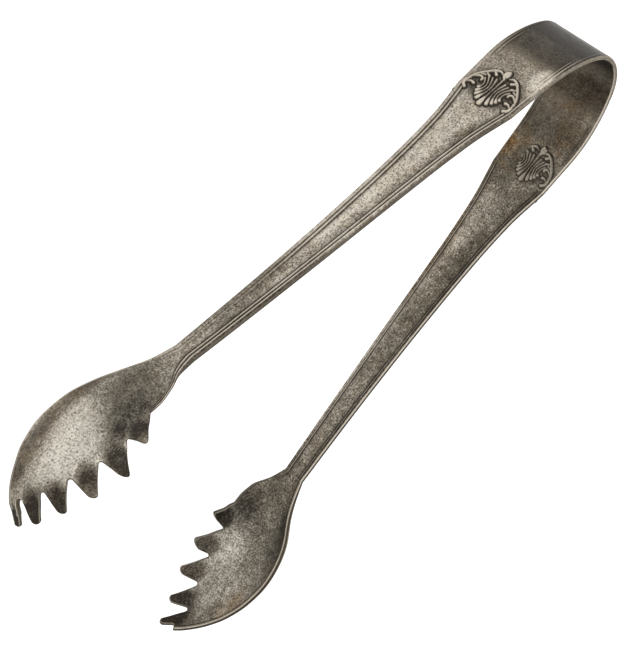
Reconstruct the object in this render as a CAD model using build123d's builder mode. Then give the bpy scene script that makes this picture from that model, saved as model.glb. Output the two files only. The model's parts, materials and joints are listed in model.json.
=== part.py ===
"""Spring tongs with cupped, toothed claws, lying on the edges of their strip.

The strip of sheet metal runs from one claw, up an arm, round the bow and back
down the other arm. All sizes are in millimetres. +X runs from the bow's crown
to the claws, +Y is the side of the right arm, and +Z is up, across the strip.
The left half is the right half turned half a turn about X, so the two rows of
teeth stand on opposite edges and mesh when the arms are squeezed together.
"""

import os
from math import asin, cos, degrees, radians, sin

from build123d import *

os.makedirs("parts", exist_ok=True)

# ---- the strip, seen along Z: a chain of tangent arcs from the crown outwards
sheet = 1.1  # thickness of the strip
crown_radius = 11.2  # bend of the bow at its crown
crown_turn = 46.0  # degrees of that bend in each half
side_radius = 30.0  # the bow's flatter sides
side_turn = 35.5
arm_length = 98.6  # from the bow's side to the neck of the claw
arm_turn = 6.5  # the arm's slight outward curve
shoulder_along = 9.6  # the strip's corner, this far along the arm's curve

# ---- widths of the strip
bow_width = 17.7
bow_straight = 12.0  # the bow keeps that width this far behind its crown
shoulder_width = 16.2
waist_width = 12.2  # where the strip has drawn in past the shoulder
waist_along = 10.5
arm_width = 9.9
arm_width_along = 24.0
lower_arm_width = 7.2
lower_arm_along = 58.0
neck_width = 5.7

# ---- the two raised thread lines along each edge of an arm's outer face
thread_width = 0.6
thread_inset = 0.1  # from the strip's edge to the first line
thread_pitch = 1.05
thread_height = 0.25
thread_foot = 0.15  # how far the lines reach down into the sheet

# ---- the shell at each shoulder: its knob points at the bow, its fan at the claw
shell_middle = 3.6  # it stands this far from the shoulder, towards the bow
shell_length = 10.6
shell_width = 13.8
shell_ground = 0.25  # its ground stands this far above the strip
shell_relief = 0.45  # and its ribs and scrolls this far above the ground
shell_foot = 0.3  # the ground is cut to the strip's curve within this depth
shell_taper = 15.0  # degrees of slope on the sides of the relief
shell_ribs = 7
shell_fan = 110.0  # degrees that the ribs spread over
rib_reach = (-0.1, 0.42)  # a rib's root and tip, as shares of the shell's length
rib_width = (0.5, 1.3)  # at its root and at its tip
scroll_line = ((-0.48, 0.08), (-0.15, 0.44), (0.36, 0.49))  # shares of its length and width
scroll_width = 1.1
scroll_end_diameter = 1.65  # the scroll's curled end
knob_diameter = 2.2
inner_shell_share = 0.84  # the shells inside the bow are smaller

# ---- the claw: its crest swings out from the neck, over the back and in again
flare_radius = 37.3
flare_turn = 13.0
back_radius = 50.4
back_turn = 35.0
end_radius = 23.3
end_turn = 30.0

claw_width = 21.6  # from the tips of the teeth to the rim, across the widest place

# each section across the claw: its distance along the crest from the neck, as a
# share of the crest's length, then the bowl's radius, the crest's height, and the
# heights of the tooth line and the rim, as shares of the claw's width
claw_sections = (
    (0.15, 0.43, 0.03, -0.24, 0.23),
    (0.3, 0.52, 0.105, -0.315, 0.44),
    (0.45, 0.62, 0.13, -0.435, 0.53),
    (0.6, 0.71, 0.11, -0.48, 0.495),
    (0.745, 0.735, 0.075, -0.43, 0.38),
    (0.895, 0.685, 0.05, -0.28, 0.18),
    (0.997, 0.6, 0.04, -0.14, -0.03),
)
neck_flatness = 1.4  # the bowl's radius at the neck, as a share of the claw's width
# teeth and the notches between them: shares of the crest's length and claw's width
tooth_tips = (
    (0.38, -0.4),
    (0.565, -0.47),
    (0.73, -0.43),
    (0.868, -0.315),
    (0.965, -0.185),
    (0.997, -0.085),
)
notch_roots = ((0.44, -0.295), (0.596, -0.287), (0.732, -0.213), (0.848, -0.08), (0.918, 0.028))
tip_width = 1.2
end_tip_width = 0.9  # the two teeth at the claw's end are narrower
notch_reach = 6.0  # a notch is cut this far out past the tooth line
notch_depth = 4.5  # and this far to either side of the sheet
notch_radius = 0.45

arm_radius = arm_length / radians(arm_turn)
shoulder_turn = degrees(shoulder_along / arm_radius)
CROWN, SIDE, SHOULDER, ARM, CLAW = range(5)  # places of the arcs in the chain


# ---- lines of the strip ------------------------------------------------------
def strip_arcs(shift, start_x):
    """The arcs of the right half, `shift` outside the middle of the sheet."""
    steps = (
        (crown_radius + shift, -crown_turn),
        (side_radius + shift, -side_turn),
        (arm_radius - shift, shoulder_turn),
        (arm_radius - shift, arm_turn - shoulder_turn),
        (flare_radius - shift, flare_turn),
        (back_radius + shift, -back_turn),
        (end_radius + shift, -end_turn),
    )
    point = Vector(start_x - shift, 0)
    heading = Vector(0, 1)
    arcs = []
    for radius, turn in steps:
        arc = JernArc(point, heading, radius, turn, mode=Mode.PRIVATE)
        arcs.append(arc)
        point, heading = arc @ 1, arc % 1
    return arcs


crown_to_tip = (strip_arcs(0, 0)[-1] @ 1).X
crown_x = (sheet / 2 - crown_to_tip) / 2  # the origin is the middle of the length

middle_line = strip_arcs(0, crown_x)
shoulder = middle_line[SHOULDER] @ 1
neck = middle_line[ARM] @ 1
crest = Wire(middle_line[CLAW:])


def band(outer_shift, inner_shift, first, last):
    """Closed outline, seen along Z, between two distances from the sheet's middle."""
    outer = strip_arcs(outer_shift, crown_x)[first:last]
    inner = strip_arcs(inner_shift, crown_x)[first:last]
    add(outer + inner)
    Line(outer[0] @ 0, inner[0] @ 0)
    Line(outer[-1] @ 1, inner[-1] @ 1)


def strip_outline(inset):
    """Closed outline of the bow and an arm, seen along Y, inside the strip's edges."""
    bow_edge = bow_width / 2 - inset
    arm_stations = (
        (0, shoulder_width),
        (waist_along, waist_width),
        (arm_width_along, arm_width),
        (lower_arm_along, lower_arm_width),
        (neck.X - shoulder.X, neck_width),
    )
    straight = Line((crown_x - sheet, bow_edge), (crown_x + bow_straight, bow_edge))
    corner = (shoulder.X, shoulder_width / 2 - inset)
    Spline(straight @ 1, corner, tangents=[(1, 0), Vector(*corner) - (straight @ 1)])
    arm_edge = Spline([(shoulder.X + along, width / 2 - inset) for along, width in arm_stations])
    past_neck = Line(arm_edge @ 1, (arm_edge @ 1) + Vector(sheet, 0))
    Line(past_neck @ 1, ((past_neck @ 1).X, 0))
    Line(straight @ 0, ((straight @ 0).X, 0))
    mirror(about=Plane.XZ)


# ---- the bow ------------------------------------------------------------------
with BuildPart() as spring_bow:
    with BuildSketch(Plane.XY.offset(-bow_width / 2)):
        with BuildLine():
            band(sheet / 2, -sheet / 2, CROWN, SHOULDER)
        make_face()
        mirror(about=Plane.XZ)
    extrude(amount=bow_width)
    with BuildSketch(Plane.XZ):
        with BuildLine():
            strip_outline(0)
        make_face()
    extrude(amount=crown_to_tip, both=True, mode=Mode.INTERSECT)


# ---- the arms -----------------------------------------------------------------
with BuildPart() as threads:
    with BuildSketch(Plane.XY.offset(-shoulder_width / 2)):
        with BuildLine():
            band(sheet / 2 + thread_height, sheet / 2 - thread_foot, ARM, CLAW)
        make_face()
    extrude(amount=shoulder_width)
    with BuildSketch(Plane.XZ):
        for number in range(2):
            inset = thread_inset + number * thread_pitch
            with BuildLine():
                strip_outline(inset)
            make_face()
            with BuildLine():
                strip_outline(inset + thread_width)
            make_face(mode=Mode.SUBTRACT)
    extrude(amount=crown_to_tip, both=True, mode=Mode.INTERSECT)

with BuildPart() as right_arm:
    with BuildSketch(Plane.XY.offset(-bow_width / 2)):
        with BuildLine():
            band(sheet / 2, -sheet / 2, SHOULDER, CLAW)
        make_face()
    extrude(amount=bow_width)
    with BuildSketch(Plane.XZ):
        with BuildLine():
            strip_outline(0)
        make_face()
    extrude(amount=crown_to_tip, both=True, mode=Mode.INTERSECT)
    add(threads.part)


# ---- the shells at the shoulders ----------------------------------------------
def shell_plane(side):
    """Plane on the strip's face at a shell: x points to the claw, z off the face.

    `side` is 1 for the outer face and -1 for the inner one."""
    arc = middle_line[SHOULDER]
    place = 1 - shell_middle / shoulder_along
    heading = arc % place
    outwards = Vector(-heading.Y, heading.X) * side
    return Plane(origin=(arc @ place) + outwards * (sheet / 2), x_dir=heading, z_dir=outwards)


def shell(side, share, carrier):
    """A shell with its ribs, side scrolls and knob, seated on a face of the arm."""
    face = shell_plane(side)
    ground = face.offset(shell_ground)
    length = shell_length * share
    width = shell_width * share
    with BuildPart() as ornament:
        with BuildSketch(face.offset(-shell_foot)):
            Ellipse(length / 2, width / 2)
        extrude(amount=shell_foot + shell_ground)
        for number in range(shell_ribs):
            direction = radians(shell_fan * (number / (shell_ribs - 1) - 0.5))
            with BuildSketch(ground):
                for reach, diameter in zip(rib_reach, rib_width):
                    place = Vector(cos(direction), sin(direction)) * reach * length
                    with Locations(place):
                        Circle(diameter * share / 2)
                make_hull()
            extrude(amount=shell_relief, taper=shell_taper)
        for way in (1, -1):
            with BuildSketch(ground):
                with BuildLine():
                    points = [(along * length, way * across * width) for along, across in scroll_line]
                    scroll = ThreePointArc(*points)
                trace(line_width=scroll_width * share)
                with Locations(scroll @ 1):
                    Circle(scroll_end_diameter * share / 2)
            extrude(amount=shell_relief, taper=shell_taper)
        with BuildSketch(ground):
            with Locations((-length / 2, 0)):
                Circle(knob_diameter * share / 2)
        extrude(amount=shell_relief, taper=shell_taper)
        add(carrier.part, mode=Mode.SUBTRACT)
    return ornament


right_outer_shell = shell(1, 1.0, right_arm)
right_inner_shell = shell(-1, inner_shell_share, right_arm)


# ---- the claws ----------------------------------------------------------------
sections = [(0, neck_flatness * claw_width, 0, -neck_width / 2, neck_width / 2)]
for along, *sizes in claw_sections:
    sections.append((along * crest.length, *(size * claw_width for size in sizes)))


def bowl(along):
    """The bowl's radius and its crest's height at a distance along the crest."""
    for one, two in zip(sections, sections[1:]):
        if along <= two[0]:
            share = (along - one[0]) / (two[0] - one[0])
            return [a + share * (b - a) for a, b in zip(one[1:3], two[1:3])]
    return sections[-1][1:3]


def across_plane(along):
    """Plane across the claw: x points outwards and y up."""
    point = crest.position_at(along, position_mode=PositionMode.LENGTH)
    heading = crest.tangent_at(along, position_mode=PositionMode.LENGTH)
    return Plane(origin=point, x_dir=(-heading.Y, heading.X, 0), z_dir=heading)


def sheet_plane(along_share, height_share):
    """Plane on the claw's sheet: x points to the claw's end, y down, z outwards."""
    along = along_share * crest.length
    height = height_share * claw_width
    radius, crest_height = bowl(along)
    tilt = asin((height - crest_height) / radius)
    across = across_plane(along)
    place = (radius * cos(tilt) - radius, crest_height + radius * sin(tilt), 0)
    outwards = across.x_dir * cos(tilt) + across.y_dir * sin(tilt)
    return Plane(origin=across.from_local_coords(place), x_dir=across.z_dir, z_dir=outwards)


with BuildPart() as right_claw:
    for along, radius, crest_height, low, high in sections:
        low_angle = degrees(asin((low - crest_height) / radius))
        high_angle = degrees(asin((high - crest_height) / radius))
        centre = (-radius, crest_height)
        with BuildSketch(across_plane(along)):
            with BuildLine():
                outer = CenterArc(centre, radius + sheet / 2, low_angle, high_angle - low_angle)
                inner = CenterArc(centre, radius - sheet / 2, low_angle, high_angle - low_angle)
                Line(outer @ 0, inner @ 0)
                Line(outer @ 1, inner @ 1)
            make_face()
    loft()
    for root, before, after in zip(notch_roots, tooth_tips, tooth_tips[1:]):
        ground = sheet_plane(*root)
        flat = end_tip_width if root is notch_roots[-1] else tip_width
        left = ground.to_local_coords(sheet_plane(*before).origin) + Vector(flat / 2, 0)
        right = ground.to_local_coords(sheet_plane(*after).origin) - Vector(flat / 2, 0)
        with BuildSketch(ground.offset(-notch_depth)) as notch:
            with BuildLine():
                Polyline(
                    (left.X, left.Y + notch_reach),
                    (left.X, left.Y),
                    (0, 0),
                    (right.X, right.Y),
                    (right.X, right.Y + notch_reach),
                    close=True,
                )
            make_face()
            fillet(notch.vertices().sort_by_distance((0, 0))[0], radius=notch_radius)
        extrude(amount=2 * notch_depth, mode=Mode.SUBTRACT)


# ---- the left half, and the files ---------------------------------------------
right_half = {
    "arm": right_arm,
    "claw": right_claw,
    "outer_shell": right_outer_shell,
    "inner_shell": right_inner_shell,
}
pieces = {"spring_bow": spring_bow}
for name, right_piece in right_half.items():
    with BuildPart() as left_piece:
        add(right_piece.part.rotate(Axis.X, 180))
    pieces[f"right_{name}"] = right_piece
    pieces[f"left_{name}"] = left_piece

for name, piece in pieces.items():
    piece.part.label = name
    export_step(piece.part, f"parts/{name}.step")
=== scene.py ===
import json
from math import radians

import bpy
import numpy as np
from bpy.props import FloatProperty, FloatVectorProperty, PointerProperty
from mathutils import Matrix, Vector
from mathutils.geometry import delaunay_2d_cdt


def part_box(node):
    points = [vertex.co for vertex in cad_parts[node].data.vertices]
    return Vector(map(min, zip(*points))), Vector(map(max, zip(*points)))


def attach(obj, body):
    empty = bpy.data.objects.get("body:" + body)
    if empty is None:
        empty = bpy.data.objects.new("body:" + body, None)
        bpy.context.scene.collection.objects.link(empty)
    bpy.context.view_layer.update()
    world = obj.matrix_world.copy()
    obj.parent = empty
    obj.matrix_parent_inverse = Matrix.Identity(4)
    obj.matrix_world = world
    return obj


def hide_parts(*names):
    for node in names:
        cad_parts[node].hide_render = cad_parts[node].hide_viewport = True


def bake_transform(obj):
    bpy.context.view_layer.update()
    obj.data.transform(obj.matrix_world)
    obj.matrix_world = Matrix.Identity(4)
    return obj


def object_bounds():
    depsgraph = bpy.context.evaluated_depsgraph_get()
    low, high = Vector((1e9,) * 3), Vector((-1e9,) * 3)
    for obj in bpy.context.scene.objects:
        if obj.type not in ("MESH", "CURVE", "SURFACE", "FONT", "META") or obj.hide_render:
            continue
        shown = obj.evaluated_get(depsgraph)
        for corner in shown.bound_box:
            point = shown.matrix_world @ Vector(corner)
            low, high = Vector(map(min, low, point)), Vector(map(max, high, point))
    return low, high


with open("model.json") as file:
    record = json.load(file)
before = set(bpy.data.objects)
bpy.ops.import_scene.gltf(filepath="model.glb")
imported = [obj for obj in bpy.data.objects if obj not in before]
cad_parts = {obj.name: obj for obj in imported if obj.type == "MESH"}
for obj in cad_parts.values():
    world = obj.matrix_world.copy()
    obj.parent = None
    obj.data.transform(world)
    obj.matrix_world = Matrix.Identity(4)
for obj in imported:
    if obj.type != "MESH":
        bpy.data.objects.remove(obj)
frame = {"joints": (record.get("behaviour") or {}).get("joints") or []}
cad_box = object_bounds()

bl_info = {
    "name": "Claw tongs",
    "version": (1, 0, 0),
    "blender": (4, 5, 0),
    "location": "View3D > Sidebar > Tongs",
    "description": "Spring tongs with thread edges, shells at the shoulders and toothed claws",
    "category": "Add Mesh",
}

# The strip runs from the bow's crown along each arm to the claw. A place on it is
# given by s, the distance along its middle line from the crown, v, the distance
# across it, and h, the height off the middle of the sheet, positive outwards. The
# right half is worked out; the left half is the same turned half a turn about X.

MM = 0.001
SIDES = ("right", "left")
PHOTO_HEIGHT = 650  # pixels


def srgb(hex_colour):
    """Linear red, green, blue and alpha of an sRGB hex colour."""
    parts = [int(hex_colour[i : i + 2], 16) / 255 for i in (0, 2, 4)]
    linear = [c / 12.92 if c <= 0.04045 else ((c + 0.055) / 1.055) ** 2.4 for c in parts]
    return (*linear, 1.0)


def size(name, description, millimetres):
    """A length that the user can change."""
    return FloatProperty(
        name=name, description=description, default=millimetres * MM, unit="LENGTH", precision=5
    )


def angle(name, description, degrees):
    """An angle that the user can change."""
    return FloatProperty(
        name=name, description=description, default=radians(degrees), subtype="ANGLE"
    )


def colour(name, description, hex_colour):
    """A colour that the user can change."""
    return FloatVectorProperty(
        name=name,
        description=description,
        default=srgb(hex_colour),
        subtype="COLOR",
        size=4,
        min=0,
        max=1,
    )


class StripSizes(bpy.types.PropertyGroup):
    """The strip: its thickness, its bends and its widths."""

    sheet: size("Sheet", "Thickness of the strip", 1.1)
    crown_radius: size("Crown radius", "Bend of the bow at its crown", 11.2)
    crown_turn: angle("Crown turn", "Turn of that bend in each half", 46)
    side_radius: size("Side radius", "Bend of the bow's flatter sides", 30)
    side_turn: angle("Side turn", "Turn of each side", 35.5)
    arm_length: size("Arm length", "From the bow's side to the claw's neck", 98.6)
    arm_turn: angle("Arm turn", "The arm's slight outward curve", 6.5)
    shoulder: size("Shoulder", "From the arm's start to the strip's corner", 9.6)
    bow_width: size("Bow width", "Width of the strip at the crown", 17.7)
    bow_straight: size("Bow straight", "How far behind the crown it keeps that width", 12)
    edge_round: size("Edge rounding", "Radius worn onto the strip's edges", 0.32)


class ClawSizes(bpy.types.PropertyGroup):
    """The claws: the curve of the crest and the cut of the teeth."""

    flare_radius: size("Flare radius", "Outward bend after the neck", 37.3)
    flare_turn: angle("Flare turn", "Turn of that bend", 13)
    back_radius: size("Back radius", "Inward bend over the claw's back", 50.4)
    back_turn: angle("Back turn", "Turn of that bend", 35)
    end_radius: size("End radius", "Tighter bend at the claw's end", 23.3)
    end_turn: angle("End turn", "Turn of that bend", 30)
    tip_round: size("Tooth rounding", "Radius of the teeth's tips", 1.1)
    notch_round: size("Notch rounding", "Radius at the roots of the notches", 0.55)
    tooth_dish: size("Tooth dish", "How far the teeth are pressed inwards", 0.55)


class ReliefSizes(bpy.types.PropertyGroup):
    """The shells at the shoulders."""

    shell_height: size("Shell height", "Height of the shell's ribs and scrolls", 0.62)
    shell_cell: size("Shell cell", "Spacing of the shell's mesh", 0.11)
    inner_share: FloatProperty(
        name="Inner share", description="Size of the shells inside the bow", default=0.9
    )


class SilverColours(bpy.types.PropertyGroup):
    """The tarnished silver plate."""

    # the film's colours, bright to dark, which also show the painted shade and reflections
    bright: colour("Bright plate", "Plate where it is cleanest", "D0CBC1")
    plate: colour("Plate", "Plate under a thin film", "ADA79C")
    dull: colour("Dull plate", "Plate under a grey-brown film", "706A5F")
    dark: colour("Dark film", "The thickest tarnish film", "2B2722")
    oxide: colour("Oxide", "Brown-black oxide in pits and recesses", "27221C")
    golden: colour("Golden tarnish", "Tint of thin golden-brown tarnish", "D9B27A")
    # also the colour of the painted highlights on ridges and edges
    rubbed_and_highlight: colour("Rubbed edge", "Plate polished on ridges by handling", "CDC3B4")


class StageSizes(bpy.types.PropertyGroup):
    """The floor, the lamps and the camera."""

    floor_width: size("Floor", "Width of the floor", 4000)
    key_power: FloatProperty(name="Key", description="Power of the key lamp", default=4.5)
    fill_power: FloatProperty(name="Fill", description="Power of the fill lamp", default=1.6)
    rim_power: FloatProperty(name="Rim", description="Power of the rim lamp", default=1.2)
    world_light: FloatProperty(name="World", description="Strength of the room's light", default=0.55)


GROUPS = {
    "tongs_strip": StripSizes,
    "tongs_claw": ClawSizes,
    "tongs_relief": ReliefSizes,
    "tongs_silver": SilverColours,
    "tongs_stage": StageSizes,
}

# widths of the arm, in mm: distance past the shoulder along X, and width
ARM_WIDTHS = ((0, 16.2), (10.5, 12.2), (24, 9.9), (58, 7.2), (88.2, 5.7))

# the bowl of the claw: distance along the crest as a share of its length, then
# the bowl's radius and the height of its crest, in mm
BOWL = (
    (0.15, 9.3, 0.7),
    (0.3, 11.2, 2.3),
    (0.45, 13.4, 2.8),
    (0.6, 15.3, 2.4),
    (0.745, 15.9, 1.6),
    (0.895, 14.8, 1.1),
    (1.01, 13.0, 0.9),
)
# the claws' edges, in mm: distance along the crest from the neck, and height. Each
# claw was filed by hand, so the two differ a little; the left one's are given as
# if it were turned onto the right one's place. Teeth: tips and notches in turn.
RIM = {
    "right": (
        (0, 2.85), (4.5, 4.4), (9.4, 6.9), (13.3, 9.3), (18.7, 11.0), (24.7, 11.5),
        (31.7, 10.6), (37.5, 8.7), (42.2, 6.1), (46.2, 3.3), (48.0, 1.9), (48.9, 1.2),
    ),
    "left": (
        (0, 2.85), (4.5, 3.7), (9.4, 4.9), (13.3, 6.0), (18.7, 8.1), (24.7, 10.0),
        (31.7, 10.6), (37.5, 9.4), (42.2, 7.0), (46.5, 4.5), (50.2, 1.4), (52.3, -0.6),
    ),
}
LOW_EDGE = {
    "right": ((0, -2.85), (4.0, -4.7), (7.6, -6.6), (10.8, -7.1), (13.5, -7.2)),
    "left": ((0, -2.85), (4.0, -3.2), (7.6, -4.5), (11.0, -5.3), (14.3, -5.5)),
}
TEETH = {
    "right": (
        (19.2, -8.9), (21.4, -6.6), (29.1, -9.5), (29.4, -5.9), (37.1, -8.5), (36.5, -3.7),
        (44.4, -5.6), (42.7, -0.9), (50.3, -2.4), (48.2, 0.4),
    ),
    "left": (
        (18.5, -8.4), (22.0, -6.6), (27.7, -10.6), (29.8, -6.7), (36.4, -10.2), (36.7, -5.2),
        (43.6, -8.1), (42.4, -2.7), (49.1, -4.9), (46.7, 0.6), (51.9, -1.7),
    ),
}

# how much blunter than the others each tooth's tip is filed
BLUNT = {"right": (2.0, 1.5, 1.1, 1.0, 0.8), "left": (1.7, 1.5, 1.1, 1.0, 1.0, 0.55)}
RIM_END_ROUND = 0.3  # mm; the corner where the rim ends
PAST_PRONG = (53.0, 2.0)  # where the prong's far side would meet the crest

# In the tables that follow, True is the outer face and False the inner one.

# thread lines, in mm from the strip's edge: each bead's start, end and height, then
# the middles of the grooves beside them
BEADS = {
    True: ((0.5, 1.04, 0.18), (1.3, 1.78, 0.2)),
    False: ((0.05, 0.75, 0.08), (0.92, 1.16, 0.1)),
}
GROOVES = {True: (1.19, 2.0), False: (0.82, 1.3)}
GROOVE_WIDTH = 0.17
GROOVE_DEPTH = 0.06
# the oxide in each groove: how much there is, and how wide it lies, in mm
GROOVE_OXIDE = {True: ((0.85, 0.26), (0.85, 0.17)), False: ((0.7, 0.17), (0.85, 0.17))}
# painted shade beside the last groove, added to the oxide: how much, how far from it, and how wide
SHADE_BESIDE_GROOVE = (0.3, 0.35, 0.5)
# how bright the strip's corner and the two beads are rubbed, with a painted highlight on them
THREAD_SHINE = {
    (True, "lower"): (0.0, 0.95, 0.9),
    (True, "upper"): (0.1, 0.5, 0.75),
    (False, "lower"): (0.1, 0.0, 0.7),
    (False, "upper"): (0.95, 0.1, 0.4),
}
CORNER_LINE = (0.2, 0.14)  # the rubbed corner with its painted highlight: mm from the edge, and its width
# mm from the crown between which the first line grows to full height, and between
# which the second one shows early, on the bow, and fades again
FIRST_GROWS = (12, 24)
SECOND_SHOWS = (14, 20)
SECOND_FADES = (25, 29)
FIRST_ON_BOW = 0.25  # how strong each one is there
SECOND_ON_BOW = 0.55
# the outer face's upper lines are worn towards the claw: between which mm from the
# crown the wear grows, and how much it takes away
UPPER_WORN = (84, 112, 0.6)

# painted shade along the border: mm from the edge at which it starts and ends, and darkness
BORDER_SHADE = {
    (True, "lower"): (-1.0, 0.66, 0.36),
    (True, "upper"): (-1.0, 0.3, 0.1),
    (False, "lower"): (-1.0, 0.5, 0.1),
    (False, "upper"): (0.4, 0.92, 0.3),
}
BORDER_STARTS = (30, 38)  # mm from the crown, between which it begins
BORDER_BLUR = 0.12  # mm

# the shell's strokes on one side of its axis, in mm: place along the strip from
# the shell's middle, place across it, and width; the other side mirrors them
SHELL_MIDDLE = 34.5  # along the strip from the crown
INNER_SHIFT = (-1.4, 1.1)  # how far the inner shells sit off that, along and across
SHELL_STROKES = (
    ((-4.3, 1.0, 0.5), (-4.75, 1.9, 0.8), (-4.4, 3.1, 0.85), (-3.3, 4.3, 0.85),
     (-2.0, 5.45, 0.8), (-0.8, 6.25, 0.75), (0.5, 6.75, 0.7)),
    ((0.1, 6.65, 0.5), (-0.75, 5.75, 0.7), (-1.25, 4.75, 0.8), (-0.9, 4.1, 0.8), (-0.4, 4.05, 0.7)),
    ((0.4, 6.5, 0.6), (1.6, 6.85, 0.8), (2.6, 6.6, 0.9), (3.1, 5.9, 0.95)),
    ((1.7, 6.5, 0.5), (1.15, 5.7, 0.75), (1.2, 4.9, 0.95)),
    ((-4.3, 3.4, 0.5), (-3.95, 2.9, 0.8), (-3.5, 2.3, 0.95)),
    ((-3.0, 4.6, 0.5), (-2.6, 4.0, 0.7), (-2.35, 3.3, 0.8)),
    ((-1.7, 5.6, 0.5), (-1.9, 4.9, 0.65), (-2.1, 4.3, 0.7)),
)
SHELL_KNOB = (
    ((-3.6, 0.0, 0.8), (-4.3, 0.55, 1.0), (-5.2, 0.6, 1.1), (-5.7, 0.0, 0.9)),
    ((-4.6, 0.0, 1.3), (-5.3, 0.0, 1.2)),
)
# each rib: how far off the axis its waist is, and how far it reaches to the claw
# and to the bow, in mm, with the width of its tip
SHELL_RIBS = (
    (0.0, 4.3, 3.5, 1.45),
    (0.74, 3.5, 2.9, 1.1),
    (1.4, 2.75, 2.7, 1.0),
    (2.08, 2.0, 2.4, 0.95),
    (2.85, 1.1, 1.7, 0.9),
)
RIB_FLARE = 2.0  # mm; a smaller value spreads the ribs' ends more
RIB_WAIST = 0.3  # mm past the shell's middle
RIB_WIDTH = 0.42  # mm at the waist
RIB_BOW_WIDTH = 0.2  # mm wider at the end towards the bow
# how far the struck field reaches: to the bow, to the claw and to each side, in mm,
# then how far its shadow of oxide reaches
SHELL_FIELD = (6.8, 5.4, 7.7)
SHELL_REACH = (5.6, 4.6, 7.2)
# how strong each shell is: its height, the oxide round it, the painted shade between its ribs,
# the oxide in its recesses and the rubbed shine and painted highlight on its ribs
SHELL_STRENGTH = {True: (1.0, 0.62, 0.2, 0.85, 0.72), False: (0.8, 0.4, 0.08, 0.7, 0.5)}
INNER_KEPT = (-6.0, -2.6)  # mm across; below that the inner shells are rubbed away
SHELL_ROOT = 0.2  # mm of metal under the shell's surface
DOME_SHARE = 0.88  # of the shell's height that its strokes rise
GROUND_SHARE = 0.14  # of it that the ground beside them rises
GROUND_EDGE = (0.12, 0.4)  # mm from a stroke between which that ground runs out
SHELL_SUNK = 0.1  # mm under the strip's face, past the ground
SHELL_GRIT = 0.6  # the shell is less speckled than the strip round it


# ---- the strip's shape -------------------------------------------------------
def smooth_curve(x, table):
    """Smooth curve through the table's (place, value) pairs, without overshoot."""
    xs = np.array([row[0] for row in table], float)
    ys = np.array([row[1] for row in table], float)
    steps = np.diff(xs)
    slopes = np.diff(ys) / steps
    tangents = np.zeros(len(xs))
    tangents[0], tangents[-1] = slopes[0], slopes[-1]
    for i in range(1, len(xs) - 1):
        if slopes[i - 1] * slopes[i] > 0:
            before, after = 2 * steps[i] + steps[i - 1], steps[i] + 2 * steps[i - 1]
            tangents[i] = (before + after) / (before / slopes[i - 1] + after / slopes[i])
    i = np.clip(np.searchsorted(xs, x) - 1, 0, len(xs) - 2)
    t = np.clip((x - xs[i]) / steps[i], 0, 1)
    return (
        (1 + 2 * t) * (1 - t) ** 2 * ys[i]
        + t * (1 - t) ** 2 * steps[i] * tangents[i]
        + t * t * (3 - 2 * t) * ys[i + 1]
        + t * t * (t - 1) * steps[i] * tangents[i + 1]
    )


def smooth_step(x, start, end):
    """0 before start, 1 after end, with a smooth rise between."""
    t = np.clip((x - start) / (end - start), 0, 1)
    return t * t * (3 - 2 * t)


def bell(x, middle, width):
    """1 at the middle, falling off smoothly to either side."""
    return np.exp(-(((x - middle) / width) ** 2))


def strip_arcs():
    """Each arc of the middle line: its length and signed turn, left positive."""
    strip = bpy.context.scene.tongs_strip
    claw = bpy.context.scene.tongs_claw
    return (
        (strip.crown_radius * strip.crown_turn, -strip.crown_turn),
        (strip.side_radius * strip.side_turn, -strip.side_turn),
        (strip.arm_length, strip.arm_turn),
        (claw.flare_radius * claw.flare_turn, claw.flare_turn),
        (claw.back_radius * claw.back_turn, -claw.back_turn),
        (claw.end_radius * claw.end_turn, -claw.end_turn),
    )


def middle_line(s):
    """Places (x, y) and headings of the middle line at distances s from the crown."""
    s = np.asarray(s, float)
    x = np.zeros_like(s)
    y = np.zeros_like(s)
    heading = np.zeros_like(s)
    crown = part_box("spring_bow")[0].x + bpy.context.scene.tongs_strip.sheet / 2
    start, at_x, at_y, at_heading = 0.0, crown, 0.0, np.pi / 2
    arcs = strip_arcs()
    for number, (length, turn) in enumerate(arcs):
        bend = turn / length
        last = number == len(arcs) - 1
        here = (s >= start) & ((s < start + length) | last)
        if number == 0:
            here |= s < start
        along = np.append(s[here] - start, length)
        turned = at_heading + bend * along
        xs = at_x + (np.sin(turned) - np.sin(at_heading)) / bend
        ys = at_y - (np.cos(turned) - np.cos(at_heading)) / bend
        x[here], y[here], heading[here] = xs[:-1], ys[:-1], turned[:-1]
        start, at_x, at_y, at_heading = start + length, xs[-1], ys[-1], turned[-1]
    return x, y, heading


def arc_ends():
    """Distances from the crown at which the bow, the arm and the claw end."""
    lengths = [length for length, _ in strip_arcs()]
    return sum(lengths[:2]), sum(lengths[:3]), sum(lengths)


def on_strip(s, v, h):
    """World places of points on the right half of the strip."""
    x, y, heading = middle_line(s)
    return np.stack([x - np.sin(heading) * h, y + np.cos(heading) * h, v * np.ones_like(x)], -1)


def half_width(s):
    """Half the strip's width at distances s along the bow and the arm."""
    strip = bpy.context.scene.tongs_strip
    x, _, _ = middle_line(s)
    bow_end, _, _ = arc_ends()
    crown_x = middle_line(np.array([0.0]))[0][0]
    shoulder_x = middle_line(np.array([bow_end + strip.shoulder]))[0][0]
    straight_x = crown_x + strip.bow_straight
    corner = ARM_WIDTHS[0][1] / 2 * MM
    drop = strip.bow_width / 2 - corner
    t = np.clip((x - straight_x) / (shoulder_x - straight_x), 0, 1)
    bow = strip.bow_width / 2 - drop * t * t * (2 - t)
    table = [(shoulder_x + along * MM, width * MM / 2) for along, width in ARM_WIDTHS]
    return np.where(x < shoulder_x, bow, smooth_curve(x, table))


# ---- the strip's cross-section -----------------------------------------------
def bead(d, ends):
    """Rounded bead between two distances from the edge, 1 at its top."""
    t = np.clip((d / MM - ends[0]) / (ends[1] - ends[0]), 0, 1)
    return np.sqrt(np.clip(1 - (2 * t - 1) ** 2, 0, 1))


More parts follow.
